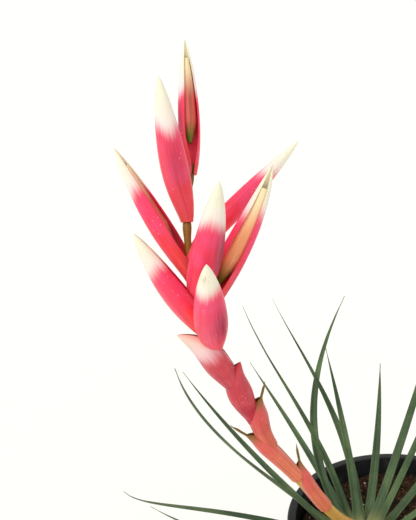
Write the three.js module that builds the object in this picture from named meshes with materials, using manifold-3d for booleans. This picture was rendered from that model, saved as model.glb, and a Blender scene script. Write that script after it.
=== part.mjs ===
// A small narrow-leaved vriesea in flower, standing in a plain nursery pot.
// Millimetres, +Z up. The origin is the centre of the pot's flat underside.
import * as THREE from 'three';
import { mergeVertices } from 'three/addons/utils/BufferGeometryUtils.js';
import Module from 'manifold-3d';

const wasm = await Module();
wasm.setup();

// ---- driving dimensions ----
const CLEARANCE = 0.3; // air kept between neighbouring pieces
const TOUCH = 0.001; // cubic millimetres: less overlap than this needs no cut
const SLIVER = 0.05; // detail smaller than this is smoothed off after a cut
const WELD = 1e-3; // corners closer than this are one corner
const FULL_TURN = 2 * Math.PI;
const UP = new THREE.Vector3(0, 0, 1);

const pot = { height: 80, baseRadius: 33, rimRadius: 46, wall: 1.6, floor: 2.2, lipHeight: 9, lipOut: 1.6 };
const potHoles = { count: 6, ringRadius: 22, radius: 4, sides: 12 };
const mix = { top: 73.5, crumb: 0.8 };
const crown = {
  x: -20,
  y: -8,
  root: 58,
  collar: 75,
  top: 82,
  rootRadius: 4.2,
  collarRadius: 6.4,
  topRadius: 3.2,
};

// the flower stalk rises from the crown, leans far over and turns upright again
const stalkPoints = [
  [-20, -8, 81],
  [-23, -10, 87],
  [-30, -15, 95],
  [-43, -22, 114],
  [-55, -28, 133],
  [-66, -36, 157],
  [-74, -41, 177],
  [-79, -40, 191],
  [-81, -36, 206],
  [-81, -31, 216],
  [-80, -27, 225],
];
const stalkShape = { bottomRadius: 2.0, topRadius: 0.95, rings: 30, sides: 8 };

const leaves = {
  count: 24,
  goldenTurn: 137.5, // degrees from one leaf to the next round the crown
  firstTurn: 95,
  low: { radius: 8.2, height: 76, lean: 74, length: 88 },
  high: { radius: 4.6, height: 81.6, lean: 26, length: 94 },
  width: 2.7,
  sheath: 4.6,
  thickness: 0.8,
  channel: 0.22, // how far the edges stand above the midrib, as a share of the width
  taper: 2.4, // how late the blade narrows
  tipLean: 0.6, // the tip's lean as a share of the foot's, because a blade curves upwards
  steps: 11,
};
// the stalk's side of the rosette, where the leaves are pushed low
const pushed = { heading: 250, sector: 78, lean: 70 };
// leaves that stand otherwise than their place in the spiral gives, by leaf number
const ownWay = {
  1: { veer: 10, lean: 78, length: 84, swing: 32 },
  4: { veer: -5, lean: 68, length: 86, swing: 11 },
  6: { veer: 7, lean: 40, length: 63, swing: 18 },
  7: { lean: 77, length: 80 },
  9: { veer: -2, lean: 38, length: 99, swing: 110 },
  12: { veer: 10, lean: 71, length: 118, swing: 90 },
  14: { veer: 7, lean: 41, length: 95, swing: 110 },
  17: { veer: -4, lean: 49, length: 93, swing: -102 },
  20: { veer: -10, lean: 49, length: 117, swing: 79 },
  22: { veer: -5, lean: 33, length: 67, swing: 36 },
  24: { lean: 23, length: 105 },
};

// sheathing bracts up the stalk, lowest first
// height: where it clasps the stalk, turn: where its back points, away: how far its tip stands off
const stalkBracts = [
  { height: 103, turn: 30, length: 34, width: 6.0, tail: 0.42, away: 5 },
  { height: 119, turn: 200, length: 34, width: 6.6, tail: 0.42, away: 5 },
  { height: 134, turn: 10, length: 31, width: 7.4, tail: 0.42, away: 6 },
  { height: 146, turn: 350, length: 27, width: 8.6, tail: 0.12, away: 1.5 },
  { height: 156, turn: 200, length: 30, width: 9.2, tail: 0.12, away: 5 },
];

// floral bracts with their flowers, lowest first
// back: where the bract's back faces when that is not where it leans, open: half its wrap in degrees
const flowers = [
  { height: 174.4, turn: 262, lean: 23, length: 38, width: 9.4 },
  { height: 178, turn: 192, lean: 26, length: 38, width: 8.6 },
  { height: 183, turn: 18, lean: 20, length: 47, width: 7.8, back: 80 },
  { height: 187.5, turn: 303, lean: 7, length: 40, width: 9.2 },
  { height: 195, turn: 160, lean: 27, length: 41, width: 7.2 },
  { height: 199, turn: 38, lean: 50, length: 47, width: 6.8, back: -10 },
  { height: 210, turn: 215, lean: 5, length: 42, width: 8.4 },
  { height: 222, turn: 95, lean: 16, length: 37, width: 6.2, back: 112, open: 140 },
];
// a floral bract's line: how long it keeps to the stalk, and how far it stands out, in widths
const floralLine = { clasp: 0.12, middleBulge: 0.6, tipBulge: 0.4 };
const wrap = { foot: 168, floral: 148, sheath: 158 }; // half of how far a bract wraps round, in degrees
const bractShape = { thickness: 0.6, steps: 11, across: 7, stretch: 0.86 };
const flowerShape = { steps: 8, sides: 8, start: 0.24, end: 0.86, fill: 0.42 };

// ---- small helpers ----
const radians = THREE.MathUtils.degToRad;
const lerp = THREE.MathUtils.lerp;
const smoothstep = THREE.MathUtils.smoothstep;

function heading(turnDegrees) {
  const a = radians(turnDegrees);
  return new THREE.Vector3(Math.cos(a), Math.sin(a), 0);
}

function leaning(turnDegrees, leanDegrees) {
  const lean = radians(leanDegrees);
  return heading(turnDegrees).multiplyScalar(Math.sin(lean)).addScaledVector(UP, Math.cos(lean));
}

function plastic(colour, roughness) {
  return new THREE.MeshStandardMaterial({ color: colour, roughness, metalness: 0 });
}

function signedVolume(points, index) {
  let volume = 0;
  for (let i = 0; i < index.length; i += 3) {
    const [a, b, c] = [points[index[i]], points[index[i + 1]], points[index[i + 2]]];
    volume += a.dot(b.clone().cross(c)) / 6;
  }
  return volume;
}

// closes a row of equal rings into one solid, with a fan over each end
function skin(rings) {
  const sides = rings[0].length;
  const points = rings.flat();
  const index = [];
  for (let r = 0; r + 1 < rings.length; r += 1) {
    for (let k = 0; k < sides; k += 1) {
      const a = r * sides + k;
      const b = r * sides + ((k + 1) % sides);
      index.push(a, b, a + sides, b, b + sides, a + sides);
    }
  }
  const capEnd = (first, flip) => {
    for (let k = 1; k + 1 < sides; k += 1) {
      const [b, c] = flip ? [k + 1, k] : [k, k + 1];
      index.push(first, first + c, first + b);
    }
  };
  capEnd(0, false);
  capEnd((rings.length - 1) * sides, true);
  if (signedVolume(points, index) < 0) index.reverse();
  const geometry = new THREE.BufferGeometry();
  const coordinates = points.flatMap((p) => p.toArray());
  geometry.setAttribute('position', new THREE.Float32BufferAttribute(coordinates, 3));
  geometry.setIndex(index);
  return geometry;
}

// ---- joining and cutting ----
function toSolid(geometry) {
  const bare = geometry.clone();
  bare.deleteAttribute('normal');
  bare.deleteAttribute('uv');
  const merged = mergeVertices(bare, WELD);
  const triVerts = new Uint32Array(merged.index.array);
  const vertProperties = new Float32Array(merged.attributes.position.array);
  return new wasm.Manifold(new wasm.Mesh({ numProp: 3, vertProperties, triVerts }));
}

function toGeometry(solid) {
  const mesh = solid.getMesh();
  const geometry = new THREE.BufferGeometry();
  geometry.setAttribute('position', new THREE.BufferAttribute(new Float32Array(mesh.vertProperties), 3));
  geometry.setIndex(new THREE.BufferAttribute(new Uint32Array(mesh.triVerts), 1));
  return geometry;
}

function largestBody(solid) {
  const bodies = solid.decompose();
  bodies.sort((a, b) => b.volume() - a.volume());
  return bodies[0];
}

// cuts a piece back from its neighbours and keeps its largest body
function cutBack(geometry, neighbours) {
  let solid = toSolid(geometry);
  neighbours.map(toSolid).forEach((neighbour) => {
    if (solid.intersect(neighbour).volume() > TOUCH) solid = solid.subtract(neighbour);
  });
  const trimmed = largestBody(solid.simplify(SLIVER));
  return toGeometry(largestBody(toSolid(toGeometry(trimmed))));
}

// ---- pot and potting mix ----
function potRadiusAt(z) {
  return lerp(pot.baseRadius, pot.rimRadius - pot.lipOut, z / pot.height);
}

function potShell() {
  const lipStart = pot.height - pot.lipHeight;
  const inside = (z) => potRadiusAt(z) - pot.wall;
  const profile = [
    [0, 0],
    [pot.baseRadius - 1, 0],
    [pot.baseRadius, 1],
    [potRadiusAt(lipStart), lipStart],
    [pot.rimRadius - 0.6, lipStart],
    [pot.rimRadius, lipStart + 0.6],
    [pot.rimRadius, pot.height - 1],
    [pot.rimRadius - 1, pot.height],
    [inside(pot.height) + 0.5, pot.height],
    [inside(pot.height), pot.height - 0.5],
    [inside(pot.floor), pot.floor],
    [0, pot.floor],
  ];
  const shell = new THREE.LatheGeometry(profile.map(([x, y]) => new THREE.Vector2(x, y)), 48);
  return shell.rotateX(Math.PI / 2);
}

function drainHole(turn) {
  const tool = new THREE.CylinderGeometry(potHoles.radius, potHoles.radius, 4 * pot.floor, potHoles.sides);
  tool.rotateX(Math.PI / 2);
  const at = heading(turn).multiplyScalar(potHoles.ringRadius);
  return tool.translate(at.x, at.y, pot.floor / 2);
}

function potBody() {
  const holes = Array.from({ length: potHoles.count }, (_, i) => drainHole((360 * i) / potHoles.count));
  return cutBack(potShell(), holes);
}

function mixHeight(x, y) {
  const wave = Math.sin(0.31 * x + 1.3) * Math.cos(0.27 * y) + 0.6 * Math.sin(0.62 * y - 0.45 * x);
  return mix.top + mix.crumb * wave;
}

function crownBody(grow) {
  const profile = [
    [0, crown.root - grow],
    [crown.rootRadius * 0.6 + grow, crown.root - grow],
    [crown.rootRadius + grow, crown.root + 4],
    [crown.collarRadius + grow, crown.collar - 3],
    [crown.collarRadius + grow, crown.collar],
    [crown.topRadius + grow, crown.top + grow],
    [0, crown.top + grow],
  ];
  const body = new THREE.LatheGeometry(profile.map(([x, y]) => new THREE.Vector2(x, y)), 24);
  return body.rotateX(Math.PI / 2).translate(crown.x, crown.y, 0);
}

function mixBody() {
  const wallGap = pot.wall + CLEARANCE;
  const bottom = pot.floor + CLEARANCE;
  const rimAt = (turn) => heading(turn).multiplyScalar(potRadiusAt(mix.top) - wallGap - 0.3);
  const rings = [];
  const around = 32;
  const turns = Array.from({ length: around }, (_, k) => (360 * k) / around);
  rings.push(turns.map((turn) => heading(turn).multiplyScalar(potRadiusAt(bottom) - wallGap).setZ(bottom)));
  [1, 0.86, 0.7, 0.52, 0.34, 0.16].forEach((share) => {
    rings.push(turns.map((turn) => {
      const p = rimAt(turn).multiplyScalar(share);
      return p.setZ(mixHeight(p.x, p.y) - (share === 1 ? 1.4 : 0));
    }));
  });
  return cutBack(skin(rings), [crownBody(CLEARANCE)]);
}

// ---- leaves ----
function headingGap(a, b) {
  return Math.abs(((a - b + 540) % 360) - 180);
}

// deterministic unevenness between -1 and 1
function unevenness(seed) {
  return Math.sin(seed * 12.9898 + 4.1) * Math.cos(seed * 7.233);
}

function leafPlan(i) {
  const share = i / (leaves.count - 1);
  const own = ownWay[i + 1] ?? {};
  const turn = leaves.firstTurn + leaves.goldenTurn * i + (own.veer ?? 0);
  const between = (key) => lerp(leaves.low[key], leaves.high[key], share);
  const isPushed = headingGap(turn % 360, pushed.heading) < pushed.sector;
  const lean = between('lean') + 4 * unevenness(i + 1);
  return {
    turn,
    radius: between('radius'),
    height: between('height'),
    lean: isPushed ? Math.max(lean, pushed.lean) : lean,
    length: between('length') * (1 + 0.14 * unevenness(i + 7)),
    swing: 8 * unevenness(i + 3),
    ...own,
  };
}

function leafWidth(share) {
  const blade = leaves.width * (1 - share ** leaves.taper);
  return Math.max(lerp(leaves.sheath, blade, smoothstep(share, 0, 0.14)), 0.5);
}

function leafBody(plan) {
  const stepLength = plan.length / leaves.steps;
  const foot = new THREE.Vector3(crown.x, crown.y, plan.height);
  const at = heading(plan.turn).multiplyScalar(plan.radius).add(foot);
  const rings = [];
  for (let i = 0; i <= leaves.steps; i += 1) {
    const share = i / leaves.steps;
    const turn = plan.turn + plan.swing * share;
    const lean = plan.lean * lerp(1, leaves.tipLean, share);
    const along = leaning(turn, lean);
    const side = heading(turn + 90);
    const face = side.clone().cross(along).negate();
    const half = leafWidth(share) / 2;
    const thick = Math.min(leaves.thickness, half * 1.1) / 2;
    const lift = half * 2 * leaves.channel;
    const point = (across, out) => at.clone().addScaledVector(side, across).addScaledVector(face, out);
    rings.push([
      point(-half, lift),
      point(0, thick),
      point(half, lift),
      point(half / 2, lift / 4 - thick),
      point(0, -thick),
      point(-half / 2, lift / 4 - thick),
    ]);
    at.addScaledVector(along, stepLength);
  }
  return skin(rings);
}

// ---- flower stalk ----
const stalkKnots = stalkPoints.map((p) => new THREE.Vector3(...p));
const stalk = new THREE.CatmullRomCurve3(stalkKnots, false, 'centripetal');

function stalkShareAt(height) {
  let [low, high] = [0, 1];
  for (let i = 0; i < 30; i += 1) {
    const middle = (low + high) / 2;
    if (stalk.getPointAt(middle).z < height) low = middle;
    else high = middle;
  }
  return low;
}

function stalkRadius(share) {
  return lerp(stalkShape.bottomRadius, stalkShape.topRadius, smoothstep(share, 0.1, 0.95));
}

function stalkBody(grow) {
  const rings = [];
  for (let i = 0; i <= stalkShape.rings; i += 1) {
    const share = i / stalkShape.rings;
    const centre = stalk.getPointAt(share);
    const along = stalk.getTangentAt(share);
    const side = along.clone().cross(new THREE.Vector3(0, 1, 0)).normalize();
    const front = side.clone().cross(along);
    const radius = stalkRadius(share) + grow;
    const ring = [];
    for (let k = 0; k < stalkShape.sides; k += 1) {
      const a = (FULL_TURN * k) / stalkShape.sides;
      const p = centre.clone().addScaledVector(side, radius * Math.cos(a));
      ring.push(p.addScaledVector(front, radius * Math.sin(a)));
    }
    rings.push(ring);
  }
  return skin(rings);
}

// ---- bracts and flowers ----
// the line up the middle of a sheath: along the stalk, then gradually away from it
function sheathPath(plan) {
  const first = stalkShareAt(plan.height);
  const points = [0, 0.25, 0.5, 0.75, 1].map((share) => {
    const p = stalk.getPointAt(first + (share * plan.length) / stalk.getLength());
    return p.addScaledVector(heading(plan.turn), plan.away * share ** 2);
  });
  return new THREE.CatmullRomCurve3(points);
}

// the line up the middle of a floral bract: along the stalk first, then out on its own lean
function floralPath(plan) {
  const share = stalkShareAt(plan.height);
  const start = stalk.getPointAt(share);
  const along = stalk.getTangentAt(share);
  const out = leaning(plan.turn, plan.lean);
  const bulging = (share, bulge) => {
    const p = start.clone().addScaledVector(out, plan.length * share);
    return p.addScaledVector(heading(plan.turn), plan.width * bulge);
  };
  const leaving = start.clone().addScaledVector(along, plan.length * floralLine.clasp);
  const middle = bulging(0.5, floralLine.middleBulge);
  return new THREE.CubicBezierCurve3(start, leaving, middle, bulging(1, floralLine.tipBulge));
}

function bractPath(plan) {
  return plan.away === undefined ? floralPath(plan) : sheathPath(plan);
}

// a bract's cross axes at a share of its line: outward through its back, and side
function bractFrame(path, share, plan) {
  const along = path.getTangentAt(share);
  const outward = heading(plan.back ?? plan.turn);
  outward.addScaledVector(along, -outward.dot(along)).normalize();
  return { centre: path.getPointAt(share), outward, side: along.clone().cross(outward) };
}

// half the width, from the clasping foot to the tip
function bractHalfWidth(plan, share, foot) {
  const widest = plan.tail ? 0.5 : 0.38;
  const end = plan.tail > 0.2 ? 1 - plan.tail / 2 : 1;
  const shoulder = plan.tail ? smoothstep(share, 0, widest) : 1 - (1 - Math.min(share / widest, 1)) ** 2;
  const swell = lerp(foot, plan.width / 2, shoulder);
  const toTip = THREE.MathUtils.clamp((share - widest) / (end - widest), 0, 1);
  return Math.max(swell * (1 - toTip ** 1.8) ** 0.75, 0.42);
}

function bractBody(plan, grow) {
  const path = bractPath(plan);
  const foot = stalkRadius(stalkShareAt(plan.height)) + CLEARANCE + bractShape.thickness;
  const wrapped = plan.open ?? (plan.tail ? wrap.sheath : wrap.floral);
  const rings = [];
  for (let i = 0; i <= bractShape.steps; i += 1) {
    const share = i / bractShape.steps;
    const { centre, outward, side } = bractFrame(path, share * 0.98 + 0.01, plan);
    const half = bractHalfWidth(plan, share, foot);
    const wall = Math.min(bractShape.thickness, half * 0.6);
    const open = radians(lerp(wrap.foot, wrapped, smoothstep(share, 0, 0.3)));
    const hug = smoothstep(share, 0.4, 1) * Math.max(plan.width / 2 - half, 0) * (plan.tail ? 0.9 : 0.3);
    const section = (psi, reach) => {
      const p = centre.clone().addScaledVector(outward, hug + reach * bractShape.stretch * Math.cos(psi));
      return p.addScaledVector(side, reach * Math.sin(psi));
    };
    const ring = [];
    const spread = open + grow / half;
    for (let k = 0; k <= bractShape.across; k += 1) {
      ring.push(section(lerp(-spread, spread, k / bractShape.across), half + grow));
    }
    for (let k = bractShape.across; k >= 0; k -= 1) {
      ring.push(section(lerp(-spread, spread, k / bractShape.across), Math.max(half - wall - grow, 0.06)));
    }
    rings.push(ring);
  }
  return skin(rings);
}

function flowerBody(plan, grow) {
  const path = bractPath(plan);
  const rings = [];
  for (let i = 0; i <= flowerShape.steps; i += 1) {
    const share = i / flowerShape.steps;
    const along = lerp(flowerShape.start, flowerShape.end, share);
    const { centre, outward, side } = bractFrame(path, along, plan);
    const room = bractHalfWidth(plan, along, 1) - bractShape.thickness - CLEARANCE;
    const plump = plan.width * flowerShape.fill * Math.sin(Math.PI * lerp(0.06, 0.92, share));
    const radius = Math.max(Math.min(room, plump), 0.3) + grow;
    const ring = [];
    for (let k = 0; k < flowerShape.sides; k += 1) {
      const a = (FULL_TURN * k) / flowerShape.sides;
      const p = centre.clone().addScaledVector(outward, radius * bractShape.stretch * Math.cos(a));
      ring.push(p.addScaledVector(side, radius * Math.sin(a)));
    }
    rings.push(ring);
  }
  return skin(rings);
}

// ---- the plant ----
const vriesea = new THREE.Group();

function add(name, geometry, material) {
  const mesh = new THREE.Mesh(geometry, material);
  mesh.name = name;
  vriesea.add(mesh);
}

const twoDigits = (n) => String(n).padStart(2, '0');

add('pot', potBody(), plastic(0x17181a, 0.5));
add('potting_mix', mixBody(), plastic(0x3a2a1e, 0.95));
add('stem_base', crownBody(0), plastic(0x6b5a35, 0.8));

for (let i = 0; i < leaves.count; i += 1) {
  add(`leaf_${twoDigits(i + 1)}`, leafBody(leafPlan(i)), plastic(0x3f5a41, 0.55));
}

add('flower_stalk', cutBack(stalkBody(0), [crownBody(CLEARANCE)]), plastic(0xc98a2a, 0.5));

const settled = [stalkBody(CLEARANCE)]; // every piece placed so far, grown by the clearance

function addCutBack(name, body, plan, material) {
  add(name, cutBack(body(plan, 0), settled), material);
}

flowers.forEach((plan, i) => {
  addCutBack(`floral_bract_${i + 1}`, bractBody, plan, plastic(0xe8435f, 0.45));
  settled.push(bractBody(plan, CLEARANCE));
});
flowers.forEach((plan, i) => {
  addCutBack(`flower_${i + 1}`, flowerBody, plan, plastic(0xf6ecc8, 0.4));
  settled.push(flowerBody(plan, CLEARANCE));
});
stalkBracts.forEach((plan, i) => {
  addCutBack(`stalk_bract_${i + 1}`, bractBody, plan, plastic(0xd9503f, 0.5));
  settled.push(bractBody(plan, CLEARANCE));
});

export default vriesea;
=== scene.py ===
"""A small vriesea in flower in a plain nursery pot: the finished look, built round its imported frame."""

import math

import bpy
import numpy as np
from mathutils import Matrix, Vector


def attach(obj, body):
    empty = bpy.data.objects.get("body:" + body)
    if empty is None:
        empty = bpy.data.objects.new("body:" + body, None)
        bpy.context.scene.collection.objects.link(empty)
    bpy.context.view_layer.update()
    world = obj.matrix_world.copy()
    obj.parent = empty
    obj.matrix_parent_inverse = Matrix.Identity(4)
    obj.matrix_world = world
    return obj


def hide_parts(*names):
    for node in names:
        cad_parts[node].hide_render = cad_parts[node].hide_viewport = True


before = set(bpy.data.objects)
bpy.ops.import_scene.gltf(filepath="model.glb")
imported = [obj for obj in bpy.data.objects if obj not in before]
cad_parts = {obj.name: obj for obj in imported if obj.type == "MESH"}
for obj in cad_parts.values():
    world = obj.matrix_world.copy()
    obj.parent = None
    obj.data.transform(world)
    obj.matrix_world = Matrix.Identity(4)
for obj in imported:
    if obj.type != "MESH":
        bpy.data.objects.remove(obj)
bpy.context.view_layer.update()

# Lengths are in millimetres until a mesh is made.
MM = 0.001
UP = np.array([0.0, 0.0, 1.0])
CLEARANCE = 0.3

# ---- the plant's driving dimensions ----
POT = {"height": 80.0, "base_radius": 33.0, "rim_radius": 46.0, "wall": 1.6, "floor": 2.2,
       "lip_height": 9.0, "lip_out": 1.6}
POT_HOLES = {"count": 6, "ring_radius": 22.0, "radius": 4.0}
MIX = {"top": 73.5, "crumb": 0.8}
CROWN = {"x": -20.0, "y": -8.0, "root": 58.0, "collar": 75.0, "top": 82.0,
         "root_radius": 4.2, "collar_radius": 6.4, "top_radius": 3.2}

STALK_POINTS = [
    (-20, -8, 81), (-23, -10, 87), (-30, -15, 95), (-43, -22, 114), (-55, -28, 133), (-66, -36, 157),
    (-74, -41, 177), (-79, -40, 191), (-81, -36, 206), (-81, -31, 216), (-80, -27, 225),
]
STALK_RADIUS = {"bottom": 2.0, "top": 0.95}

LEAF_COUNT = 24
LEAF_SPIRAL = {"turn": 137.5, "first": 95.0}
LOW_LEAF = {"radius": 8.2, "height": 76.0, "lean": 74.0, "length": 88.0}
HIGH_LEAF = {"radius": 4.6, "height": 81.6, "lean": 26.0, "length": 94.0}
LEAF = {"width": 3.1, "sheath": 4.6, "thickness": 0.6, "channel": 0.22, "taper": 2.4, "tip_lean": 0.6}
PUSHED = {"heading": 250.0, "sector": 78.0, "lean": 70.0}
OWN_WAY = {
    1: {"veer": 10, "lean": 78, "length": 84, "swing": 32},
    4: {"veer": -5, "lean": 68, "length": 86, "swing": 11},
    6: {"veer": 7, "lean": 40, "length": 63, "swing": 18},
    7: {"lean": 77, "length": 80},
    9: {"veer": -2, "lean": 38, "length": 99, "swing": 110},
    12: {"veer": 10, "lean": 71, "length": 118, "swing": 90},
    14: {"veer": 7, "lean": 41, "length": 95, "swing": 110},
    17: {"veer": -4, "lean": 49, "length": 93, "swing": -102},
    20: {"veer": -10, "lean": 49, "length": 117, "swing": 79},
    22: {"veer": -5, "lean": 33, "length": 67, "swing": 36},
    24: {"lean": 23, "length": 105},
}

# sheathing bracts, lowest first
STALK_BRACTS = [
    {"height": 103, "turn": 30, "length": 34, "width": 6.0, "tail": 0.42, "away": 5,
     "warm": 0.95, "pale": 0.2},
    {"height": 119, "turn": 200, "length": 34, "width": 6.6, "tail": 0.42, "away": 5,
     "warm": 0.9, "pale": 0.2},
    {"height": 134, "turn": 10, "length": 31, "width": 7.4, "tail": 0.42, "away": 6,
     "warm": 0.6, "pale": 0.2},
    {"height": 146, "turn": 350, "length": 27, "width": 8.6, "tail": 0.12, "away": 1.5,
     "warm": 0.0, "pale": 0.1},
    {"height": 156, "turn": 200, "length": 30, "width": 9.2, "tail": 0.12, "away": 5,
     "warm": 0.0, "pale": 1.0},
]

# floral bracts and their flowers, lowest first. fade: where the red gives way to white, as a
# share of the length; shade_and_flush: the place across, middle along and strength of a dark patch
# that is partly painted shade and partly the bract's own dark flush
FLOWERS = [
    {"height": 174.4, "turn": 262, "lean": 23, "length": 38, "width": 9.4,
     "fade": 0.76, "shade_and_flush": (0.68, 0.42, 0.75), "warm": 0.15, "dry": 0.7, "flower": 0.5},
    {"height": 178, "turn": 192, "lean": 26, "length": 38, "width": 8.6,
     "fade": 0.70, "shade_and_flush": (0.45, 0.5, 0.25), "warm": 0.5, "dry": 0.2, "flower": 0.6},
    {"height": 183, "turn": 18, "lean": 20, "length": 47, "width": 7.8, "back": 80,
     "fade": 0.72, "shade_and_flush": (0.2, 0.3, 0.2), "warm": 0.6, "dry": 0.4, "flower": 1.0},
    {"height": 187.5, "turn": 303, "lean": 7, "length": 40, "width": 9.2,
     "fade": 0.70, "shade_and_flush": (0.62, 0.5, 1.0), "warm": 0.05, "dry": 0.15, "flower": 0.5},
    {"height": 195, "turn": 160, "lean": 27, "length": 41, "width": 7.2,
     "fade": 0.68, "shade_and_flush": (0.3, 0.3, 0.1), "warm": 0.4, "dry": 0.9, "flower": 0.35},
    {"height": 199, "turn": 38, "lean": 50, "length": 47, "width": 6.8, "back": -10,
     "fade": 0.72, "shade_and_flush": (0.3, 0.5, 0.2), "warm": 0.1, "dry": 0.0, "flower": 0.5},
    {"height": 210, "turn": 215, "lean": 5, "length": 42, "width": 8.4,
     "fade": 0.70, "shade_and_flush": (0.72, 0.45, 0.45), "warm": 0.35, "dry": 0.4, "flower": 0.5},
    {"height": 222, "turn": 95, "lean": 16, "length": 37, "width": 6.2, "back": 112, "open": 140,
     "fade": 0.62, "shade_and_flush": (0.85, 0.35, 0.9), "warm": 0.1, "dry": 0.4, "flower": 0.0},
]
BRACT = {"thickness": 0.6, "stretch": 0.86}
WRAP = {"foot": 168.0, "floral": 148.0, "sheath": 158.0}
FLOWER = {"start": 0.24, "end": 0.86, "fill": 0.46}


# ---- small helpers ----
def smoothstep(value, low, high):
    t = np.clip((value - low) / (high - low), 0, 1)
    return t * t * (3 - 2 * t)


def lerp(a, b, t):
    return a + (b - a) * t


def heading(turn):
    return np.array([math.cos(math.radians(turn)), math.sin(math.radians(turn)), 0.0])


def leaning(turn, lean):
    return heading(turn) * math.sin(math.radians(lean)) + UP * math.cos(math.radians(lean))


def unit(v):
    return v / np.linalg.norm(v)


class Path:
    """A line through space, read by the share of its length."""

    def __init__(self, points):
        self.points = np.array(points, float)
        steps = np.linalg.norm(np.diff(self.points, axis=0), axis=1)
        self.marks = np.concatenate([[0], np.cumsum(steps)])
        self.length = self.marks[-1]

    def at(self, share):
        return np.array([np.interp(share * self.length, self.marks, self.points[:, k]) for k in range(3)])

    def along(self, share):
        low, high = max(share - 1e-3, 0), min(share + 1e-3, 1)
        return unit(self.at(high) - self.at(low))


def smooth_path(knots, per_span=60):
    """A centripetal Catmull-Rom line through the knots."""
    knots = [np.array(k, float) for k in knots]
    ends = [2 * knots[0] - knots[1]] + knots + [2 * knots[-1] - knots[-2]]
    points = []
    for i in range(len(knots) - 1):
        a, b, c, d = ends[i:i + 4]
        ab, bc, cd = (math.sqrt(np.linalg.norm(q - p)) for p, q in ((a, b), (b, c), (c, d)))
        leave = ((b - a) / ab - (c - a) / (ab + bc) + (c - b) / bc) * bc
        arrive = ((c - b) / bc - (d - b) / (bc + cd) + (d - c) / cd) * bc
        for t in np.arange(per_span) / per_span:
            cubic = (2 * b - 2 * c + leave + arrive) * t ** 3
            points.append(b + leave * t + (3 * c - 3 * b - 2 * leave - arrive) * t ** 2 + cubic)
    return Path(points + [knots[-1]])


def bezier_path(a, b, c, d, steps=200):
    t = np.linspace(0, 1, steps + 1)[:, None]
    return Path(a * (1 - t) ** 3 + 3 * b * t * (1 - t) ** 2 + 3 * c * t ** 2 * (1 - t) + d * t ** 3)


STALK = smooth_path(STALK_POINTS)


def stalk_share(height):
    low, high = 0.0, 1.0
    for _ in range(30):
        middle = (low + high) / 2
        if STALK.at(middle)[2] < height:
            low = middle
        else:
            high = middle
    return low


def stalk_radius(share):
    return lerp(STALK_RADIUS["bottom"], STALK_RADIUS["top"], smoothstep(share, 0.1, 0.95))


# ---- meshes ----
def mesh_piece(name, points, faces, uvs, material, marks=None):
    """A mesh object from points in millimetres, one (across, along) pair a point, and point marks."""
    mesh = bpy.data.meshes.new(name)
    mesh.from_pydata((np.array(points) * MM).tolist(), [], faces)
    layer = mesh.uv_layers.new(name="UVMap")
    corners = np.empty(len(mesh.loops), dtype=np.int32)
    mesh.loops.foreach_get("vertex_index", corners)
    layer.data.foreach_set("uv", np.array(uvs, np.float32)[corners].ravel())
    for mark, values in (marks or {}).items():
        attribute = mesh.attributes.new(mark, "FLOAT", "POINT")
        attribute.data.foreach_set("value", np.array(values, np.float32))
    mesh.polygons.foreach_set("use_smooth", [True] * len(mesh.polygons))
    mesh.materials.append(material)
    piece = bpy.data.objects.new(name, mesh)
    bpy.context.scene.collection.objects.link(piece)
    return piece


def signed_volume(points, faces):
    total = 0.0
    for face in faces:
        a = points[face[0]]
        for b, c in zip(face[1:], face[2:]):
            total += np.dot(a, np.cross(points[b], points[c]))
    return total


def skin(name, rings, uv_rings, material, marks=None):
    """Closes a row of equal rings into one solid with a fan over each end."""
    sides = len(rings[0])
    points = [p for ring in rings for p in ring] + [np.mean(rings[0], axis=0), np.mean(rings[-1], axis=0)]
    uvs = [uv for ring in uv_rings for uv in ring] + [(0.5, uv_rings[0][0][1]), (0.5, uv_rings[-1][0][1])]
    faces = []
    for r in range(len(rings) - 1):
        for k in range(sides):
            a, b = r * sides + k, r * sides + (k + 1) % sides
            faces.append((a, b, b + sides, a + sides))
    last = (len(rings) - 1) * sides
    for k in range(sides):
        n = (k + 1) % sides
        faces.append((n, k, len(points) - 2))
        faces.append((last + k, last + n, len(points) - 1))
    if signed_volume(points, faces) < 0:
        faces = [face[::-1] for face in faces]
    if marks:
        marks = {key: [v for ring in values for v in ring] + [values[0][0], values[-1][0]]
                 for key, values in marks.items()}
    return mesh_piece(name, points, faces, uvs, material, marks)


def plain_mesh(name, piece):
    """What an object looks like with its modifiers, as a plain mesh object of its own."""
    evaluated = piece.evaluated_get(bpy.context.evaluated_depsgraph_get())
    mesh = bpy.data.meshes.new_from_object(evaluated)
    mesh.name = name
    result = bpy.data.objects.new(name, mesh)
    bpy.context.scene.collection.objects.link(result)
    source = piece.data
    bpy.data.objects.remove(piece)
    (bpy.data.curves if isinstance(source, bpy.types.Curve) else bpy.data.meshes).remove(source)
    return result


def finish_piece(piece, node):
    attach(piece, "root")
    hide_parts(node)


# ---- materials ----
def linear(colour):
    def channel(c):
        return c / 12.92 if c <= 0.04045 else ((c + 0.055) / 1.055) ** 2.4
    return tuple(channel(int(colour[i:i + 2], 16) / 255) for i in (0, 2, 4)) + (1.0,)


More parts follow.
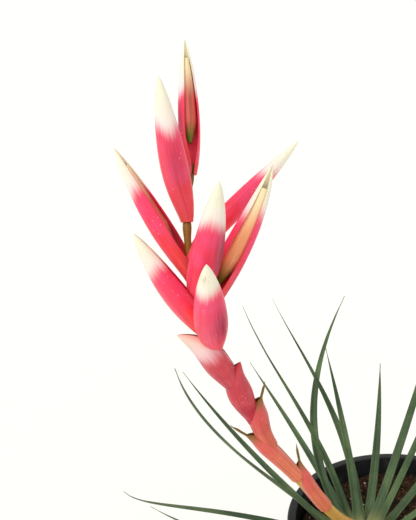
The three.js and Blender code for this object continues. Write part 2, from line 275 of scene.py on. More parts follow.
class Finish:
    """One procedural material, put together from small named steps."""

    def __init__(self, name, roughness, specular=0.5, subsurface=0.0, coat=0.0):
        self.material = bpy.data.materials.new(name)
        self.material.use_nodes = True
        self.tree = self.material.node_tree
        self.shader = self.tree.nodes["Principled BSDF"]
        self.shader.inputs["Roughness"].default_value = roughness
        self.shader.inputs["Specular IOR Level"].default_value = specular
        self.shader.inputs["Subsurface Weight"].default_value = subsurface
        self.shader.inputs["Subsurface Radius"].default_value = (1.0, 0.35, 0.25)
        self.shader.inputs["Subsurface Scale"].default_value = 0.0012
        self.shader.inputs["Coat Weight"].default_value = coat
        self.shader.inputs["Coat Roughness"].default_value = 0.25

    def add(self, kind, inputs=None, **settings):
        node = self.tree.nodes.new(kind)
        for key, value in settings.items():
            setattr(node, key, value)
        for key, value in (inputs or {}).items():
            if isinstance(value, bpy.types.NodeSocket):
                self.tree.links.new(value, node.inputs[key])
            else:
                node.inputs[key].default_value = value
        return node

    def place(self):
        return self.add("ShaderNodeTexCoord").outputs["Object"]

    def surface_map(self):
        return self.add("ShaderNodeUVMap", uv_map="UVMap").outputs["UV"]

    def along(self):
        return self.add("ShaderNodeSeparateXYZ", {"Vector": self.surface_map()}).outputs["Y"]

    def mark(self, name):
        return self.add("ShaderNodeAttribute", attribute_name=name).outputs["Fac"]

    def stretched(self, vector, scale, shift=(0, 0, 0)):
        inputs = {"Vector": vector, "Scale": scale, "Location": shift}
        return self.add("ShaderNodeMapping", inputs).outputs[0]

    def noise(self, vector, scale, detail=3.0, roughness=0.5):
        inputs = {"Vector": vector, "Scale": scale, "Detail": detail, "Roughness": roughness}
        return self.add("ShaderNodeTexNoise", inputs).outputs["Fac"]

    def cells(self, vector, scale):
        node = self.add("ShaderNodeTexVoronoi", {"Vector": vector, "Scale": scale}, feature="F1")
        return node.outputs["Distance"]

    def ramp(self, value, low, high, to_low=0.0, to_high=1.0):
        inputs = {"Value": value, "From Min": low, "From Max": high, "To Min": to_low, "To Max": to_high}
        return self.add("ShaderNodeMapRange", inputs, interpolation_type="SMOOTHSTEP").outputs[0]

    def sums(self, operation, a, b):
        return self.add("ShaderNodeMath", {0: a, 1: b}, operation=operation, use_clamp=True).outputs[0]

    def mix(self, factor, a, b):
        node = self.add("ShaderNodeMix", {"Factor": factor}, data_type="RGBA")
        for key, value in ((6, a), (7, b)):
            if isinstance(value, bpy.types.NodeSocket):
                self.tree.links.new(value, node.inputs[key])
            else:
                node.inputs[key].default_value = linear(value)
        return node.outputs[2]

    def colour(self, socket):
        self.tree.links.new(socket, self.shader.inputs["Base Color"])
        return self

    def rough(self, socket):
        self.tree.links.new(socket, self.shader.inputs["Roughness"])
        return self

    def bump(self, height, distance, strength=1.0):
        inputs = {"Height": height, "Distance": distance * MM, "Strength": strength}
        node = self.add("ShaderNodeBump", inputs)
        self.tree.links.new(node.outputs[0], self.shader.inputs["Normal"])
        return self


def bract_finish(name, body, bright, deep, warm, pale, cream):
    """Waxy bract: fine fibres along it, a warm foot, a dark patch of painted shade and real flush, a white
    to cream tip, dry flecks.
    """
    f = Finish(name, 0.42, specular=0.3, subsurface=0.12, coat=0.06)
    fibres = f.noise(f.stretched(f.surface_map(), (60, 2.2, 1)), 1.0, 3.0, 0.6)
    veins = f.noise(f.stretched(f.surface_map(), (22, 0.8, 1), (3.1, 0, 0)), 1.0, 2.0)
    clouds = f.noise(f.place(), 170.0, 3.0)
    colour = f.mix(f.ramp(clouds, 0.38, 0.64), body, bright)
    colour = f.mix(f.sums("MULTIPLY", f.ramp(veins, 0.5, 0.72), 0.5), colour, deep)
    colour = f.mix(f.sums("MULTIPLY", f.ramp(fibres, 0.5, 0.8), 0.35), colour, deep)
    colour = f.mix(f.sums("MULTIPLY", f.mark("warm"), f.ramp(veins, 0.2, 0.7, 1.0, 0.55)), colour, warm)
    colour = f.mix(f.sums("MULTIPLY", f.ramp(f.along(), 0.25, 0.6), 0.5), colour, bright)
    # painted shade: the dark maroon patch is partly shade painted into the colour and partly the bract's
    # own flush
    painted_shade_and_flush = f.sums("MULTIPLY", f.mark("shade_and_flush"), f.ramp(fibres, 0.3, 0.62, 0.35, 1.0))
    colour = f.mix(painted_shade_and_flush, colour, "64203A")
    ragged = f.sums("ADD", f.mark("pale"), f.ramp(fibres, 0.3, 0.7, -0.1, 0.1))
    white = f.mix(f.ramp(f.along(), 0.6, 0.95), pale, cream)
    colour = f.mix(f.ramp(ragged, 0.1, 0.9), colour, white)
    flecks = f.noise(f.stretched(f.surface_map(), (16, 9, 1), (0, 1.7, 0)), 1.0, 4.0, 0.65)
    dried = f.sums("MULTIPLY", f.mark("dry"), f.ramp(flecks, 0.53, 0.6))
    colour = f.mix(dried, colour, "96622C")
    specks = f.cells(f.place(), 900.0)
    speck_patch = f.ramp(f.noise(f.place(), 240.0, 1.0), 0.56, 0.64)
    pin = f.sums("MULTIPLY", f.ramp(specks, 0.2, 0.12, 0.0, 1.0), speck_patch)
    colour = f.mix(f.sums("MULTIPLY", pin, 0.5), colour, "FFC9B8")
    thread = f.mix(f.ramp(fibres, 0.3, 0.7), "5E5A22", "9A7A3C")
    f.colour(f.mix(f.mark("tail"), colour, thread))
    f.rough(f.ramp(fibres, 0.3, 0.7, 0.34, 0.5))
    return f.bump(f.sums("ADD", fibres, f.sums("MULTIPLY", veins, 0.8)), 0.12, 0.55).material


def flower_finish():
    """The closed flower: green foot, coral to peach sepals with dusky stripes, cream petal tip."""
    f = Finish("flower_coral_and_cream", 0.42, specular=0.3, subsurface=0.1)
    fibres = f.noise(f.stretched(f.surface_map(), (34, 1.6, 1)), 1.0, 3.0)
    veins = f.noise(f.stretched(f.surface_map(), (15, 0.7, 1), (4.2, 0, 0)), 1.0, 2.0)
    along = f.along()
    sepal = f.mix(f.mark("peach"), "DE6A5C", "FFB27E")
    stripes = f.sums("MULTIPLY", f.ramp(veins, 0.48, 0.62), f.ramp(f.mark("peach"), 0.0, 1.0, 0.6, 0.1))
    colour = f.mix(stripes, sepal, "8A4A3C")
    colour = f.mix(f.ramp(along, 0.3, 0.05), colour, "6B7A1C")
    colour = f.mix(f.ramp(along, 0.5, 0.95), colour, "FCE9B8")
    colour = f.mix(f.sums("MULTIPLY", f.ramp(fibres, 0.5, 0.75), 0.3), colour, "A85A2C")
    return f.colour(colour).bump(fibres, 0.1, 0.5).material


def stalk_finish():
    """Yellow-orange scape below, olive-brown between the flowers, finely ridged."""
    f = Finish("stalk_olive_orange", 0.45, specular=0.4, subsurface=0.06)
    ridges = f.noise(f.stretched(f.surface_map(), (26, 3, 1)), 1.0, 3.0)
    along = f.along()
    colour = f.mix(f.ramp(along, 0.0, 0.1), "8FA03E", "E9B25A")
    colour = f.mix(f.ramp(along, 0.2, 0.6), colour, "A86A1E")
    colour = f.mix(f.ramp(along, 0.75, 1.0), colour, "7C6418")
    colour = f.mix(f.sums("MULTIPLY", f.ramp(ridges, 0.45, 0.75), 0.5), colour, "6E3A12")
    return f.colour(colour).bump(ridges, 0.15, 0.6).material


def leaf_finish():
    """Dull green blade with fine lines, a grey scaly bloom and a dry tip."""
    f = Finish("leaf_dull_green", 0.5, specular=0.35, subsurface=0.05)
    lines = f.noise(f.stretched(f.surface_map(), (30, 4, 1)), 1.0, 2.0)
    patches = f.noise(f.place(), 60.0, 3.0)
    along = f.along()
    colour = f.mix(f.ramp(patches, 0.35, 0.68), "42593A", "647C50")
    colour = f.mix(f.sums("MULTIPLY", f.ramp(lines, 0.48, 0.7), 0.45), colour, "2A3F28")
    colour = f.mix(f.ramp(along, 0.10, 0.0), colour, "A9A86E")
    scales = f.ramp(f.cells(f.stretched(f.place(), (1, 1, 0.7)), 1500.0), 0.3, 0.1)
    bloom = f.sums("MULTIPLY", scales, f.ramp(patches, 0.4, 0.7, 0.1, 0.4))
    colour = f.mix(bloom, colour, "A5B39C")
    colour = f.mix(f.ramp(along, 0.955, 0.99), colour, "7A6238")
    return f.colour(colour).bump(lines, 0.08, 0.6).material


def stem_finish():
    f = Finish("stem_dry_brown", 0.8, specular=0.2)
    rings = f.noise(f.stretched(f.surface_map(), (8, 24, 1)), 1.0, 4.0)
    colour = f.mix(f.ramp(rings, 0.35, 0.65), "5B4426", "9C8A55")
    return f.colour(colour).bump(rings, 0.5, 0.8).material


def pot_finish():
    """Moulded recycled plastic: near black, faint flow marks, dust and water marks."""
    f = Finish("pot_black_plastic", 0.42, specular=0.45)
    grain = f.noise(f.place(), 900.0, 2.0)
    flow = f.noise(f.stretched(f.place(), (1, 1, 0.25)), 45.0, 4.0)
    dust = f.noise(f.place(), 130.0, 5.0, 0.65)
    colour = f.mix(f.ramp(flow, 0.4, 0.65), "141516", "1E2021")
    colour = f.mix(f.sums("MULTIPLY", f.ramp(dust, 0.55, 0.78), 0.35), colour, "5A5750")
    f.colour(colour).rough(f.ramp(dust, 0.35, 0.7, 0.36, 0.62))
    return f.bump(grain, 0.05, 0.5).material


def mix_finish(name, dark, light, scale):
    f = Finish(name, 0.95, specular=0.15)
    lumps = f.noise(f.place(), scale, 6.0, 0.7)
    fine = f.noise(f.place(), scale * 6, 3.0)
    colour = f.mix(f.ramp(lumps, 0.35, 0.68), dark, light)
    return f.colour(colour).bump(f.sums("ADD", lumps, f.sums("MULTIPLY", fine, 0.4)), 0.6, 0.9).material


# ---- pot, mix and stem base ----
def pot_radius(z):
    return lerp(POT["base_radius"], POT["rim_radius"] - POT["lip_out"], z / POT["height"])


def arc(centre, radius, start, end, steps=5):
    angles = np.radians(np.linspace(start, end, steps + 1))
    return [(centre[0] + radius * math.cos(a), centre[1] + radius * math.sin(a)) for a in angles]


def pot_profile():
    """Outline of the wall from the middle of the underside, round the rim, to the middle of the floor."""
    lip = POT["height"] - POT["lip_height"]
    inside = POT["wall"]
    height, rim = POT["height"], POT["rim_radius"]
    outline = [(0, 0), (12, 0), (24, 0)]
    outline += arc((POT["base_radius"] - 1, 1), 1.0, -90, 0)
    outline += [(pot_radius(z), z) for z in np.linspace(6, lip - 1.2, 10)]
    outline += [(pot_radius(lip), lip - 0.3), (rim - 0.8, lip)]
    outline += arc((rim - 0.5, lip + 0.5), 0.5, -90, 0)
    outline += [(rim, lip + 4)]
    outline += arc((rim - 0.9, height - 0.9), 0.9, 0, 90)
    outline += arc((pot_radius(height) - inside + 0.6, height - 0.6), 0.6, 90, 180)
    outline += [(pot_radius(z) - inside, z) for z in np.linspace(height - 4, POT["floor"] + 2, 10)]
    outline += arc((pot_radius(POT["floor"]) - inside - 1.5, POT["floor"] + 1.5), 1.5, 0, -90)
    return outline + [(24, POT["floor"]), (12, POT["floor"]), (0, POT["floor"])]


def lathe(name, outline, material, around=144, centre=(0.0, 0.0)):
    """Turns an outline that starts and ends on the axis into a closed solid."""
    rings, uv_rings = [], []
    for i, (radius, z) in enumerate(outline[1:-1]):
        share = (i + 1) / (len(outline) - 1)
        turns = [360 * k / around for k in range(around)]
        rings.append([heading(t) * radius + np.array([centre[0], centre[1], z]) for t in turns])
        uv_rings.append([(t / 360, share) for t in turns])
    return skin(name, rings, uv_rings, material)


def make_pot():
    pot = lathe("pot_shell", pot_profile(), pot_finish())
    cutters = []
    for i in range(POT_HOLES["count"]):
        at = heading(360 * i / POT_HOLES["count"]) * POT_HOLES["ring_radius"]
        turns = [360 * k / 32 for k in range(32)]
        rings = [[at + heading(t) * POT_HOLES["radius"] + UP * z for t in turns] for z in (-3.0, 6.0)]
        cutter = skin(f"hole_cutter_{i}", rings, [[(0, 0)] * 32] * 2, pot.data.materials[0])
        cut = pot.modifiers.new(f"drain_{i}", "BOOLEAN")
        cut.operation = "DIFFERENCE"
        cut.object = cutter
        cut.solver = "EXACT"
        cutters.append(cutter)
    result = plain_mesh("nursery_pot", pot)
    for cutter in cutters:
        bpy.data.objects.remove(cutter)
    result.data.set_sharp_from_angle(angle=math.radians(40))
    finish_piece(result, "pot")


def mix_height(x, y):
    wave = math.sin(0.31 * x + 1.3) * math.cos(0.27 * y) + 0.6 * math.sin(0.62 * y - 0.45 * x)
    return MIX["top"] + MIX["crumb"] * wave


def new_tree(name, sockets):
    """An empty geometry tree with a Geometry way in and out and the named inputs."""
    tree = bpy.data.node_groups.new(name, "GeometryNodeTree")
    tree.interface.new_socket(name="Geometry", in_out="INPUT", socket_type="NodeSocketGeometry")
    for label, kind in sockets:
        tree.interface.new_socket(name=label, in_out="INPUT", socket_type=kind)
    tree.interface.new_socket(name="Geometry", in_out="OUTPUT", socket_type="NodeSocketGeometry")
    return tree


def tree_node(tree, kind, inputs=None, **settings):
    node = tree.nodes.new(kind)
    for key, value in settings.items():
        setattr(node, key, value)
    for key, value in (inputs or {}).items():
        if isinstance(value, bpy.types.NodeSocket):
            tree.links.new(value, node.inputs[key])
        else:
            node.inputs[key].default_value = value
    return node


def tree_math(tree, operation, a, b=0.0):
    return tree_node(tree, "ShaderNodeMath", {0: a, 1: b}, operation=operation).outputs[0]


def tree_vector(tree, operation, a, b=(0.0, 0.0, 0.0), scale=None):
    inputs = {0: a, 1: b}
    if scale is not None:
        inputs = {0: a, "Scale": scale}
    return tree_node(tree, "ShaderNodeVectorMath", inputs, operation=operation).outputs[0]


def run_tree(piece, tree, values):
    """Adds the tree to the piece with its inputs set by their socket identifiers."""
    modifier = piece.modifiers.new(tree.name, "NODES")
    modifier.node_group = tree
    sockets = {item.name: item.identifier for item in tree.interface.items_tree
               if item.item_type == "SOCKET" and item.in_out == "INPUT"}
    for label, value in values.items():
        modifier[sockets[label]] = value


def crumb_tree():
    """Crumbs of the mix scattered over its top: small angular lumps of mixed size."""
    tree = new_tree("mix_crumbs", [("Per square metre", "NodeSocketFloat"), ("Smallest", "NodeSocketFloat"),
                                   ("Largest", "NodeSocketFloat"), ("Seed", "NodeSocketInt"),
                                   ("Material", "NodeSocketMaterial")])
    given = tree_node(tree, "NodeGroupInput").outputs
    spots = {"Mesh": given["Geometry"], "Density": given["Per square metre"], "Seed": given["Seed"]}
    scatter = tree_node(tree, "GeometryNodeDistributePointsOnFaces", spots)
    lump = tree_node(tree, "GeometryNodeMeshIcoSphere", {"Radius": 1.0, "Subdivisions": 2})
    where = tree_node(tree, "GeometryNodeInputPosition")
    rough = tree_node(tree, "ShaderNodeTexNoise", {"Vector": where.outputs[0], "Scale": 1.1, "Detail": 1.0})
    centred = tree_vector(tree, "SUBTRACT", rough.outputs["Color"], (0.5, 0.5, 0.5))
    pushed = tree_vector(tree, "SCALE", centred, scale=1.3)
    lump = tree_node(tree, "GeometryNodeSetPosition", {"Geometry": lump.outputs["Mesh"], "Offset": pushed})
    turn = tree_node(tree, "FunctionNodeRandomValue", {0: (0, 0, 0), 1: (6.28, 6.28, 6.28)},
                     data_type="FLOAT_VECTOR")
    size = tree_node(tree, "FunctionNodeRandomValue", {2: given["Smallest"], 3: given["Largest"],
                                                       "Seed": given["Seed"]}, data_type="FLOAT")
    flat = tree_node(tree, "FunctionNodeRandomValue", {0: (0.7, 0.45, 0.3), 1: (1.3, 0.9, 0.7)},
                     data_type="FLOAT_VECTOR")
    scale = tree_vector(tree, "SCALE", flat.outputs[0], scale=size.outputs[1])
    spread = tree_node(tree, "GeometryNodeInstanceOnPoints",
                       {"Points": scatter.outputs["Points"], "Instance": lump.outputs[0],
                        "Rotation": turn.outputs[0], "Scale": scale})
    solid = tree_node(tree, "GeometryNodeRealizeInstances", {"Geometry": spread.outputs[0]})
    coated = tree_node(tree, "GeometryNodeSetMaterial",
                       {"Geometry": solid.outputs[0], "Material": given["Material"]})
    tree_node(tree, "NodeGroupOutput", {"Geometry": coated.outputs[0]})
    return tree


def mix_top_sheet(material, reach):
    """The top of the mix as an open sheet, on which the crumbs are scattered."""
    around = 72
    turns = [360 * k / around for k in range(around)]
    rings = [[heading(t) * reach * share for t in turns] for share in np.linspace(1, 0.17, 16)]
    points = [(p[0], p[1], mix_height(p[0], p[1])) for ring in rings for p in ring]
    faces = []
    for r in range(len(rings) - 1):
        for k in range(around):
            a, b = r * around + k, r * around + (k + 1) % around
            faces.append((a, b, b + around, a + around))
    return mesh_piece("mix_top", points, faces, [(0, 0)] * len(points), material)


def ripple(p):
    """The fine unevenness of the mix between its crumbs, in millimetres."""
    return 0.5 * math.sin(p[0] * 2.1 + 1.7 * math.sin(p[1] * 1.3)) * math.cos(p[1] * 1.9)


def make_mix():
    dark = mix_finish("potting_mix_dark", "1C130C", "3D2B1C", 260.0)
    chips = mix_finish("potting_mix_bark", "2A1A10", "6B4A30", 420.0)
    stones = mix_finish("potting_mix_perlite", "A9A59B", "E4E2DA", 500.0)
    gap = POT["wall"] + CLEARANCE
    bottom = POT["floor"] + CLEARANCE
    reach = pot_radius(MIX["top"]) - gap - 0.3
    turns = [360 * k / 96 for k in range(96)]
    heights = np.linspace(bottom, 70, 9)
    rings = [[heading(t) * (pot_radius(z) - gap) + UP * z for t in turns] for z in heights]
    rings.append([heading(t) * (reach - 0.2) + UP * (MIX["top"] - 1.2) for t in turns])
    for share in np.linspace(0.97, 0.03, 26):
        ring = [heading(t) * reach * share for t in turns]
        rings.append([np.array([p[0], p[1], mix_height(p[0], p[1]) + ripple(p)]) for p in ring])
    uv_rings = [[(t / 360, i / len(rings)) for t in turns] for i in range(len(rings))]
    body = skin("mix_body", rings, uv_rings, dark)
    finish_piece(body, "potting_mix")
    tree = crumb_tree()
    layers = (("bark_crumbs", chips, 330000.0, 0.5, 1.3, 3), ("mix_crumbs", dark, 520000.0, 0.35, 0.9, 8),
              ("perlite_crumbs", stones, 14000.0, 0.5, 1.1, 5))
    for name, material, density, smallest, largest, seed in layers:
        sheet = mix_top_sheet(material, reach - 1.6)
        run_tree(sheet, tree, {"Per square metre": density, "Smallest": smallest * MM,
                               "Largest": largest * MM, "Seed": seed, "Material": material})
        crumbs = plain_mesh(name, sheet)
        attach(crumbs, "root")


def make_stem_base():
    c = CROWN
    outline = [(0, c["root"]), (c["root_radius"] * 0.5, c["root"]), (c["root_radius"] * 0.6, c["root"]),
               (c["root_radius"], c["root"] + 4), (c["collar_radius"], c["collar"] - 3)]
    for i, z in enumerate(np.linspace(c["collar"] - 2, c["top"] - 0.4, 14)):
        climbed = max(z - c["collar"], 0) / (c["top"] - c["collar"])
        slope = lerp(c["collar_radius"], c["top_radius"], climbed)
        outline.append((slope - (0.35 if i % 2 else 0.0), z))
    outline += [(c["top_radius"] * 0.6, c["top"]), (c["top_radius"] * 0.3, c["top"]), (0, c["top"])]
    piece = lathe("stem_stub", outline, stem_finish(), 48, (c["x"], c["y"]))
    finish_piece(piece, "stem_base")


# ---- leaves ----
def unevenness(seed):
    return math.sin(seed * 12.9898 + 4.1) * math.cos(seed * 7.233)


def leaf_plan(number):
    i = number - 1
    share = i / (LEAF_COUNT - 1)
    own = OWN_WAY.get(number, {})
    turn = LEAF_SPIRAL["first"] + LEAF_SPIRAL["turn"] * i + own.get("veer", 0)
    plan = {key: lerp(LOW_LEAF[key], HIGH_LEAF[key], share) for key in LOW_LEAF}
    plan["lean"] += 4 * unevenness(i + 1)
    gap = abs((turn - PUSHED["heading"] + 540) % 360 - 180)
    if gap < PUSHED["sector"]:
        plan["lean"] = max(plan["lean"], PUSHED["lean"])
    plan["length"] *= 1 + 0.14 * unevenness(i + 7)
    plan["swing"] = 8 * unevenness(i + 3)
    plan["turn"] = turn
    plan.update(own)
    return plan


def leaf_points(plan, steps=11, fine=6):
    """The midline of a blade: it starts on its lean and curves upwards to the tip."""
    at = heading(plan["turn"]) * plan["radius"] + np.array([CROWN["x"], CROWN["y"], plan["height"]])
    knots = [at.copy()]
    for i in range(steps):
        share = i / steps
        turn = plan["turn"] + plan["swing"] * share
        at += leaning(turn, plan["lean"] * lerp(1, LEAF["tip_lean"], share)) * plan["length"] / steps
        knots.append(at.copy())
    return smooth_path(knots, fine).points


def leaf_tree():
    """A channelled blade that follows a line: a sheath at the foot, narrowing to a fine tip."""
    tree = new_tree("leaf_blade", [("Width", "NodeSocketFloat"), ("Sheath width", "NodeSocketFloat"),
                                   ("Taper", "NodeSocketFloat"),
                                   ("Channel", "NodeSocketFloat"), ("Steps along", "NodeSocketInt"),
                                   ("Material", "NodeSocketMaterial")])
    given = tree_node(tree, "NodeGroupInput").outputs
    grid = tree_node(tree, "GeometryNodeMeshGrid", {"Size X": 2.0, "Size Y": 1.0, "Vertices X": 9,
                                                    "Vertices Y": given["Steps along"]})
    mapped = tree_node(tree, "GeometryNodeStoreNamedAttribute",
                       {"Geometry": grid.outputs["Mesh"], "Name": "UVMap", "Value": grid.outputs["UV Map"]},
                       data_type="FLOAT2", domain="CORNER")
    where = tree_node(tree, "GeometryNodeInputPosition")
    parts = tree_node(tree, "ShaderNodeSeparateXYZ", {0: where.outputs[0]})
    across = parts.outputs["X"]
    share = tree_math(tree, "ADD", parts.outputs["Y"], 0.5)
    line = tree_node(tree, "GeometryNodeSampleCurve", {"Curves": given["Geometry"], "Factor": share},
                     mode="FACTOR", use_all_curves=True)
    crossed = tree_vector(tree, "CROSS_PRODUCT", line.outputs["Tangent"], (0, 0, 1))
    side = tree_vector(tree, "NORMALIZE", crossed)
    face = tree_vector(tree, "CROSS_PRODUCT", side, line.outputs["Tangent"])
    taper = tree_math(tree, "SUBTRACT", 1.0, tree_math(tree, "POWER", share, given["Taper"]))
    blade = tree_math(tree, "MULTIPLY", given["Width"], taper)
    foot = tree_node(tree, "ShaderNodeMapRange", {"Value": share, "From Min": 0.0, "From Max": 0.14},
                     interpolation_type="SMOOTHSTEP").outputs[0]
    width = tree_node(tree, "ShaderNodeMix", {"Factor": foot, 2: given["Sheath width"], 3: blade},
                      data_type="FLOAT").outputs[0]
    width = tree_math(tree, "MAXIMUM", width, 0.00028)
    half = tree_math(tree, "MULTIPLY", width, 0.5)
    out = tree_vector(tree, "SCALE", side, scale=tree_math(tree, "MULTIPLY", across, half))
    bend = tree_math(tree, "POWER", tree_math(tree, "ABSOLUTE", across), 1.6)
    lift = tree_math(tree, "MULTIPLY", tree_math(tree, "MULTIPLY", bend, given["Channel"]), width)
    raised = tree_vector(tree, "SCALE", face, scale=lift)
    place = tree_vector(tree, "ADD", line.outputs["Position"], tree_vector(tree, "ADD", out, raised))
    shaped = tree_node(tree, "GeometryNodeSetPosition", {"Geometry": mapped.outputs[0], "Position": place})
    smooth = tree_node(tree, "GeometryNodeSetShadeSmooth", {"Geometry": shaped.outputs[0]})
    solid = tree_node(tree, "GeometryNodeRealizeInstances", {"Geometry": smooth.outputs[0]})
    coated = tree_node(tree, "GeometryNodeSetMaterial",
                       {"Geometry": solid.outputs[0], "Material": given["Material"]})
    tree_node(tree, "NodeGroupOutput", {"Geometry": coated.outputs[0]})
    return tree


def make_leaves():
    tree = leaf_tree()
    material = leaf_finish()
    for number in range(1, LEAF_COUNT + 1):
        points = leaf_points(leaf_plan(number))
        line = bpy.data.curves.new(f"leaf_line_{number:02d}", "CURVE")
        line.dimensions = "3D"
        spline = line.splines.new("POLY")
        spline.points.add(len(points) - 1)
        flat = np.column_stack([points * MM, np.ones(len(points))])
        spline.points.foreach_set("co", flat.ravel())
        holder = bpy.data.objects.new(f"leaf_line_{number:02d}", line)
        bpy.context.scene.collection.objects.link(holder)
        run_tree(holder, tree, {"Width": LEAF["width"] * MM, "Sheath width": LEAF["sheath"] * MM,
                                "Taper": LEAF["taper"], "Channel": LEAF["channel"],
                                "Steps along": 72, "Material": material})
        blade = plain_mesh(f"leaf_blade_{number:02d}", holder)
        wall = blade.modifiers.new("blade thickness", "SOLIDIFY")
        wall.thickness = LEAF["thickness"] * MM
        wall.offset = 0.0
        wall.thickness_clamp = 0.9
        finish_piece(blade, f"leaf_{number:02d}")


# ---- stalk ----
def make_stalk():
    rows, sides = 220, 24
    rings, uv_rings = [], []
    joints = [stalk_share(flower["height"]) for flower in FLOWERS]
    for i in range(rows + 1):
        share = i / rows
        centre, along = STALK.at(share), STALK.along(share)
        side = unit(np.cross(along, [0, 1, 0]))
        front = np.cross(side, along)
        swelling = sum(0.3 * math.exp(-((share - joint + 0.006) / 0.013) ** 2) for joint in joints)
        ring = []
        for k in range(sides):
            a = 2 * math.pi * k / sides
            radius = stalk_radius(share) * (1 + swelling + 0.02 * math.cos(7 * a))
            ring.append(centre + side * radius * math.cos(a) + front * radius * math.sin(a))
        rings.append(ring)
        uv_rings.append([(k / sides, share) for k in range(sides)])
    piece = skin("flower_scape", rings, uv_rings, stalk_finish())
    finish_piece(piece, "flower_stalk")


# ---- bracts and flowers ----
def sheath_path(plan):
    first = stalk_share(plan["height"])
    knots = []
    for share in (0, 0.25, 0.5, 0.75, 1):
        knots.append(STALK.at(first + share * plan["length"] / STALK.length)
                     + heading(plan["turn"]) * plan["away"] * share ** 2)
    return smooth_path(knots)


def floral_path(plan):
    share = stalk_share(plan["height"])
    start, along = STALK.at(share), STALK.along(share)
    out, back = leaning(plan["turn"], plan["lean"]), heading(plan["turn"])
    return bezier_path(start, start + along * plan["length"] * 0.12,
                       start + out * plan["length"] * 0.5 + back * plan["width"] * 0.6,
                       start + out * plan["length"] + back * plan["width"] * 0.4)


def bract_path(plan):
    return sheath_path(plan) if "away" in plan else floral_path(plan)


def bract_frame(path, share, plan):
    along = path.along(share)
    outward = heading(plan.get("back", plan["turn"]))
    outward = unit(outward - along * np.dot(outward, along))
    return path.at(share), outward, np.cross(along, outward)


def bract_half_width(plan, share, foot, least=0.45):
    tail = plan.get("tail", 0)
    widest = 0.5 if tail else 0.38
    end = 1 - tail / 2 if tail > 0.2 else 1
    shoulder = smoothstep(share, 0, widest) if tail else 1 - (1 - min(share / widest, 1)) ** 2
    swell = lerp(foot, plan["width"] / 2, shoulder)
    to_tip = min(max((share - widest) / (end - widest), 0), 1)
    return max(swell * (1 - to_tip ** 1.8) ** 0.75, least)


def bract_marks(plan, across, along):
    """How far a point of a bract is pale, darkened by painted shade and by its own flush, warm and dry."""
    if "away" in plan:
        tail = smoothstep(along, 0.62, 0.8) if plan["tail"] > 0.2 else 0.0
        edge = smoothstep(abs(across - 0.5), 0.40, 0.49)
        top = smoothstep(along, 0.5, 0.85) * plan["pale"]
        # stalk bracts: an even darkening of the cooler ones below their pale tops, partly painted shade and
        # partly their own deeper red
        return {"pale": max(top, 0.35 * edge) * (1 - tail), "shade_and_flush": 0.25 * (1 - plan["warm"]) * (1 - top),
                "warm": plan["warm"] * (1 - 0.5 * along), "dry": 0.0, "tail": tail}
    # a dark patch across and along the bract, partly painted shade on the side turned from the light and
    # partly the bract's own flush
    shade_and_flush_across, shade_and_flush_along, shade_and_flush = plan["shade_and_flush"]
    wave = 0.03 * math.sin(9 * across + plan["turn"])
    pale = smoothstep(along + wave, plan["fade"] - 0.12, plan["fade"] + 0.11)
    shade = math.exp(-((across - shade_and_flush_across) / 0.13) ** 2 - ((along - shade_and_flush_along) / 0.2) ** 2)
    tip = smoothstep(along, 0.8, 0.97) * math.exp(-((across - 0.45) / 0.16) ** 2)
    foot = 0.25 + 0.75 * plan["warm"]
    down_middle = plan["warm"] * 0.6 * math.exp(-((across - 0.5) / 0.2) ** 2) * (1 - pale)
    warm = max(foot * (1 - along / 0.45), down_middle, 0)
    return {"tail": 0.0, "pale": pale, "shade_and_flush": shade_and_flush * shade, "warm": min(warm, 1), "dry": plan["dry"] * tip}


def make_bract(name, plan, material, rows=90, columns=44):
    path = bract_path(plan)
    tail = plan.get("tail", 0)
    wrapped = plan.get("open", WRAP["sheath"] if tail else WRAP["floral"])
    foot = stalk_radius(stalk_share(plan["height"])) + CLEARANCE + BRACT["thickness"]
    rings, uv_rings = [], []
    marks = {"pale": [], "shade_and_flush": [], "warm": [], "dry": [], "tail": []}
    for i in range(rows + 1):
        share = i / rows
        centre, outward, side = bract_frame(path, share * 0.98 + 0.01, plan)
        least = lerp(0.45, 0.12, smoothstep(share, 0.9, 1.0))
        half = bract_half_width(plan, share, foot, least)
        wall = min(BRACT["thickness"], half * 0.6)
        spread = math.radians(lerp(WRAP["foot"], wrapped, smoothstep(share, 0, 0.3)))
        spread *= 1 + 0.012 * math.sin(11 * share + plan["turn"])
        hug = smoothstep(share, 0.4, 1) * max(plan["width"] / 2 - half, 0) * (0.9 if tail else 0.3)
        keel = 0.07 * smoothstep(share, 0.15, 0.6)

        def section(psi, reach):
            ridge = 1 + keel * math.exp(-(psi / 0.22) ** 2)
            return (centre + outward * (hug + reach * ridge * BRACT["stretch"] * math.cos(psi))
                    + side * reach * math.sin(psi))

        ring, uv_ring = [], []
        shares = np.linspace(0, 1, columns + 1)
        for k in shares:
            ring.append(section(lerp(-spread, spread, k), half))
            uv_ring.append((k, share))
        for k in shares[::-1]:
            thin = 1 - 0.75 * smoothstep(abs(k - 0.5), 0.42, 0.5)
            ring.append(section(lerp(-spread, spread, k), half - wall * thin))
            uv_ring.append((k, share))
        rings.append(ring)
        uv_rings.append(uv_ring)
        at_points = [bract_marks(plan, uv[0], share) for uv in uv_ring]
        for key in marks:
            marks[key].append([at[key] for at in at_points])
    return skin(name, rings, uv_rings, material, marks)


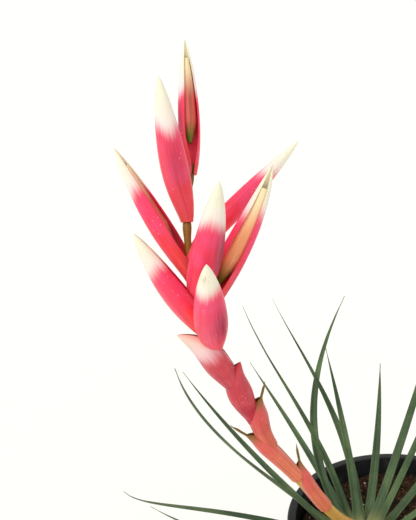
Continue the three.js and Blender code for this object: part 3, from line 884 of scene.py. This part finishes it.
def make_flower(name, plan, material, rows=60, sides=36):
    """The closed flower: three sepals wrapped in a slow spiral round the petals."""
    path = bract_path(plan)
    rings, uv_rings, marks = [], [], {"peach": []}
    for i in range(rows + 1):
        share = i / rows
        along = lerp(FLOWER["start"], FLOWER["end"], share)
        centre, outward, side = bract_frame(path, along, plan)
        room = bract_half_width(plan, along, 1, 0.3) - BRACT["thickness"] - CLEARANCE
        plump = plan["width"] * FLOWER["fill"] * math.sin(math.pi * lerp(0.06, 0.92, share))
        radius = max(min(room, plump), 0.16)
        ring = []
        for k in range(sides):
            a = 2 * math.pi * k / sides
            step = ((3 * (a / (2 * math.pi)) + 1.1 * share) % 1.0)
            wrapped = radius * (1 - 0.10 * (1 - step) ** 3)
            ring.append(centre + outward * wrapped * BRACT["stretch"] * math.cos(a)
                        + side * wrapped * math.sin(a))
        rings.append(ring)
        uv_rings.append([(k / sides, share) for k in range(sides)])
        marks["peach"].append([plan["flower"]] * sides)
    return skin(name, rings, uv_rings, material, marks)


def make_spike():
    floral = bract_finish("floral_bract_coral", "FF3654", "FF4C78", "CF2140", "F8803E", "FFE8E6", "FDF6DC")
    sheath = bract_finish("stalk_bract_salmon", "D63046", "EA5058", "A51E30", "FF9A68", "FBD3DA", "F6D5C4")
    flower = flower_finish()
    for i, plan in enumerate(FLOWERS, 1):
        finish_piece(make_bract(f"coral_bract_{i}", plan, floral), f"floral_bract_{i}")
        finish_piece(make_flower(f"closed_flower_{i}", plan, flower), f"flower_{i}")
    for i, plan in enumerate(STALK_BRACTS, 1):
        finish_piece(make_bract(f"sheath_bract_{i}", plan, sheath), f"stalk_bract_{i}")


# ---- stage ----
def make_floor():
    f = Finish("floor_pale", 0.9, specular=0.0)
    f.colour(f.mix(f.noise(f.place(), 2.0, 2.0), "FFFDF7", "FFFFFA"))
    half = 8000.0
    corners = [(-half, -half, 0), (half, -half, 0), (half, half, 0), (-half, half, 0)]
    floor = mesh_piece("floor", corners, [(0, 1, 2, 3)], [(0, 0), (1, 0), (1, 1), (0, 1)], f.material)


def make_lights():
    """An even white surround and one broad soft sun from the upper left, in front."""
    world = bpy.data.worlds.new("soft_white")
    world.use_nodes = True
    world.node_tree.nodes["Background"].inputs["Color"].default_value = (1.0, 1.0, 0.985, 1.0)
    world.node_tree.nodes["Background"].inputs["Strength"].default_value = 0.68
    bpy.context.scene.world = world
    sun = bpy.data.lights.new("soft_sun", "SUN")
    sun.angle = math.radians(40)
    sun.energy = 1.5
    holder = bpy.data.objects.new("soft_sun", sun)
    holder.rotation_euler = turn_towards(np.array([0.55, 0.5, -0.95]))
    bpy.context.scene.collection.objects.link(holder)


def turn_towards(direction):
    return Vector(direction.tolist()).to_track_quat("-Z", "Y").to_euler()


def make_camera():
    """Looks along +Y and a little down, at the middle of the flower spike."""
    aim = np.array([-75.4, -32.3, 198.5])
    down = math.radians(22)
    direction = np.array([0, math.cos(down), -math.sin(down)])
    lens = bpy.data.cameras.new("camera")
    lens.lens = 60
    lens.sensor_fit = "VERTICAL"
    lens.sensor_height = 36
    lens.clip_start = 0.01
    holder = bpy.data.objects.new("camera", lens)
    holder.location = (aim - direction * 245) * MM
    holder.rotation_euler = turn_towards(direction)
    bpy.context.scene.collection.objects.link(holder)
    bpy.context.scene.camera = holder


bpy.context.scene.view_settings.view_transform = "Standard"
make_camera()
make_pot()
make_mix()
make_stem_base()
make_leaves()
make_stalk()
make_spike()
make_floor()
make_lights()
